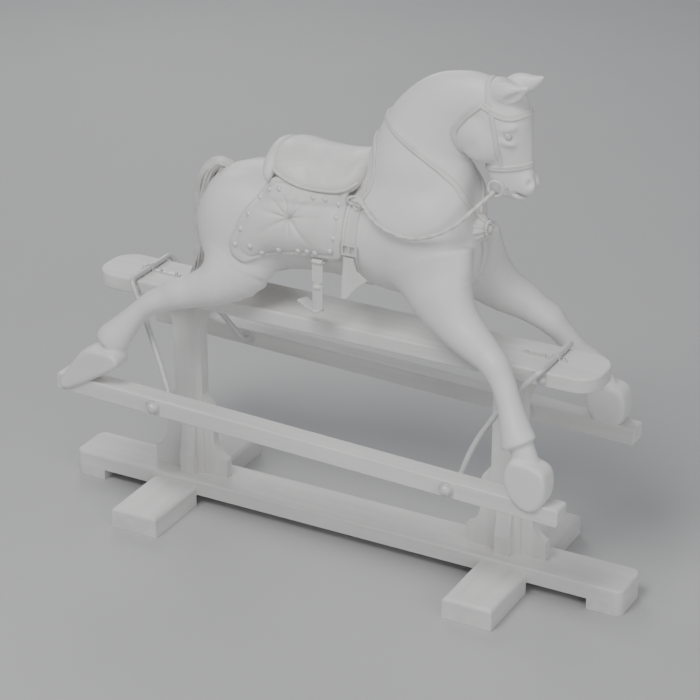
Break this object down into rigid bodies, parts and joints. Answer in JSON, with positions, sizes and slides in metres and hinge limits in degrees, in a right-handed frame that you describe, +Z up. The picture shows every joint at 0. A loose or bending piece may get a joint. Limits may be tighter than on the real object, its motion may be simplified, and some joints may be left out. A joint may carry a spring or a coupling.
{
  "type": "rocking horse",
  "caption": "Carved wooden rocking horse with saddle and bridle, hung from two swing irons on a long low timber stand with posts, top rail and cross feet.",
  "frame": {"origin": "centre of the base plank in plan, on the floor", "axes": "+X is the way the horse faces, along the stand; +Y is the horse's left side; +Z is up"},
  "size_m": [1.3, 0.4602, 1.0728],
  "materials": {
    "base_timber": "matt pale limed paint over straight-grained timber",
    "rail_timber": "matt pale limed paint over straight-grained timber",
    "swing_iron": "pale satin paint over round iron rod",
    "steel_fixings": "dull zinc",
    "painted_body": "smooth gesso and eggshell paint over carved timber",
    "horse_hair": "combed pale hair",
    "eye_glass": "polished glass, painted pale behind",
    "saddle_leather": "stuffed leather with a soft sheen",
    "saddle_cloth": "buttoned and studded leather cloth",
    "strap_leather": "narrow strap leather with burnished edges",
    "tack_metal": "worn nickel plate"
  },
  "bodies": {
    "stand": {"base_plank": "base_timber", "front_cross_foot": "base_timber", "rear_cross_foot": "base_timber", "base_end_pads": "base_timber", "cross_foot_screws": "steel_fixings", "end_pad_screws": "steel_fixings", "front_post": "base_timber", "rear_post": "base_timber", "front_post_wing_brackets": "base_timber", "rear_post_wing_brackets": "base_timber", "post_side_brackets": "base_timber", "post_head_corbels": "base_timber", "top_rail": "base_timber", "top_rail_cross_bolts": "swing_iron", "iron_bearing_straps": "swing_iron", "bearing_strap_screws": "steel_fixings"},
    "front_iron": {"front_swing_iron": "swing_iron", "front_iron_washers": "swing_iron", "front_iron_cap_nuts": "swing_iron"},
    "rear_iron": {"rear_swing_iron": "swing_iron", "rear_iron_washers": "swing_iron", "rear_iron_cap_nuts": "swing_iron"},
    "horse": {"bit_and_rings": "tack_metal", "breast_strap": "strap_leather", "browband": "strap_leather", "cheek_straps": "strap_leather", "chest_rosette": "strap_leather", "ears": "painted_body", "girth_buckles": "tack_metal", "girth_ends": "strap_leather", "girth_strap": "strap_leather", "glass_eyes": "eye_glass", "head_block": "painted_body", "headpiece": "strap_leather", "left_fore_leg": "painted_body", "left_hind_leg": "painted_body", "left_hoof_rail": "rail_timber", "left_rein": "strap_leather", "left_saddle_flap": "saddle_cloth", "lower_body_block": "painted_body", "neck_block": "painted_body", "noseband": "strap_leather", "right_fore_leg": "painted_body", "right_hind_leg": "painted_body", "right_hoof_rail": "rail_timber", "right_rein": "strap_leather", "right_saddle_flap": "saddle_cloth", "saddle_cantle_roll": "saddle_leather", "saddle_seat": "saddle_leather", "saddle_studs": "tack_metal", "stirrup_hangers": "steel_fixings", "tail": "horse_hair", "tail_peg": "painted_body", "throat_lash": "strap_leather", "upper_body_block": "painted_body"},
    "left_stirrup_leather": {"left_stirrup_leather": "strap_leather"},
    "right_stirrup_leather": {"right_stirrup_leather": "strap_leather"},
    "left_stirrup_iron": {"left_stirrup_iron": "tack_metal"},
    "right_stirrup_iron": {"right_stirrup_iron": "tack_metal"}
  },
  "joints": [
    {"name": "front_iron_swing", "type": "hinge", "parent": "stand", "child": "front_iron", "pos_m": [0.4677, 0, 0.51275], "axis": [0, 1, 0], "range_deg": [-12, 12]},
    {"name": "rear_iron_swing", "type": "hinge", "parent": "stand", "child": "rear_iron", "pos_m": [-0.4677, 0, 0.51275], "axis": [0, 1, 0], "range_deg": [-13.7, 13.7]},
    {"name": "horse_pitch", "type": "hinge", "parent": "front_iron", "child": "horse", "pos_m": [0.3383, 0, 0.2887], "axis": [0, 1, 0], "range_deg": [-17.2, 17.2], "deforming": ["tail"]},
    {"name": "left_stirrup_leather_swing", "type": "hinge", "parent": "horse", "child": "left_stirrup_leather", "pos_m": [-0.002, 0.112, 0.661], "axis": [1, 0, 0], "range_deg": [0, 40]},
    {"name": "left_stirrup_iron_swing", "type": "hinge", "parent": "left_stirrup_leather", "child": "left_stirrup_iron", "pos_m": [-0.002, 0.112, 0.606], "axis": [1, 0, 0], "range_deg": [-30, 35]},
    {"name": "right_stirrup_leather_swing", "type": "hinge", "parent": "horse", "child": "right_stirrup_leather", "pos_m": [-0.002, -0.112, 0.661], "axis": [-1, 0, 0], "range_deg": [0, 40]},
    {"name": "right_stirrup_iron_swing", "type": "hinge", "parent": "right_stirrup_leather", "child": "right_stirrup_iron", "pos_m": [-0.002, -0.112, 0.606], "axis": [-1, 0, 0], "range_deg": [-30, 35]}
  ],
  "couplings": [
    {"joint": "rear_iron_swing", "follows": "front_iron_swing", "ratio": 1.1328},
    {"joint": "horse_pitch", "follows": "front_iron_swing", "ratio": -1.4196}
  ]
}
